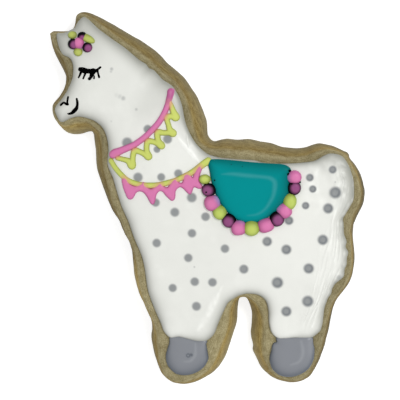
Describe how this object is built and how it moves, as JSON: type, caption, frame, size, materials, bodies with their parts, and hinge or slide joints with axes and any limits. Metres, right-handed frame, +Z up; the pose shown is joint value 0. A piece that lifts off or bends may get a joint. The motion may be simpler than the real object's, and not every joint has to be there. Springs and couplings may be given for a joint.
{
  "type": "iced sugar cookie",
  "caption": "Llama-shaped sugar cookie lying flat, iced in white with grey hooves, piped collars, a teal saddle blanket ringed with beads, and a small flower by the ears",
  "frame": {"origin": "Under the middle of the biscuit, on the surface it lies on", "axes": "+Z up, out of the iced side; +Y from the hooves to the ears, the longest extent; the llama faces -X"},
  "size_m": [0.0945, 0.1141, 0.0137],
  "materials": {
    "biscuit": "baked dough, dry and fine-grained, khaki brown",
    "white_icing": "set royal icing, smooth, soft satin sheen",
    "teal_icing": "set royal icing, smooth, soft satin sheen",
    "grey_icing": "set royal icing, smooth, soft satin sheen"
  },
  "bodies": {
    "root": {"biscuit": "biscuit", "white_icing": "white_icing", "saddle_icing": "teal_icing", "front_hoof_icing": "grey_icing", "hind_hoof_icing": "grey_icing"}
  },
  "joints": []
}
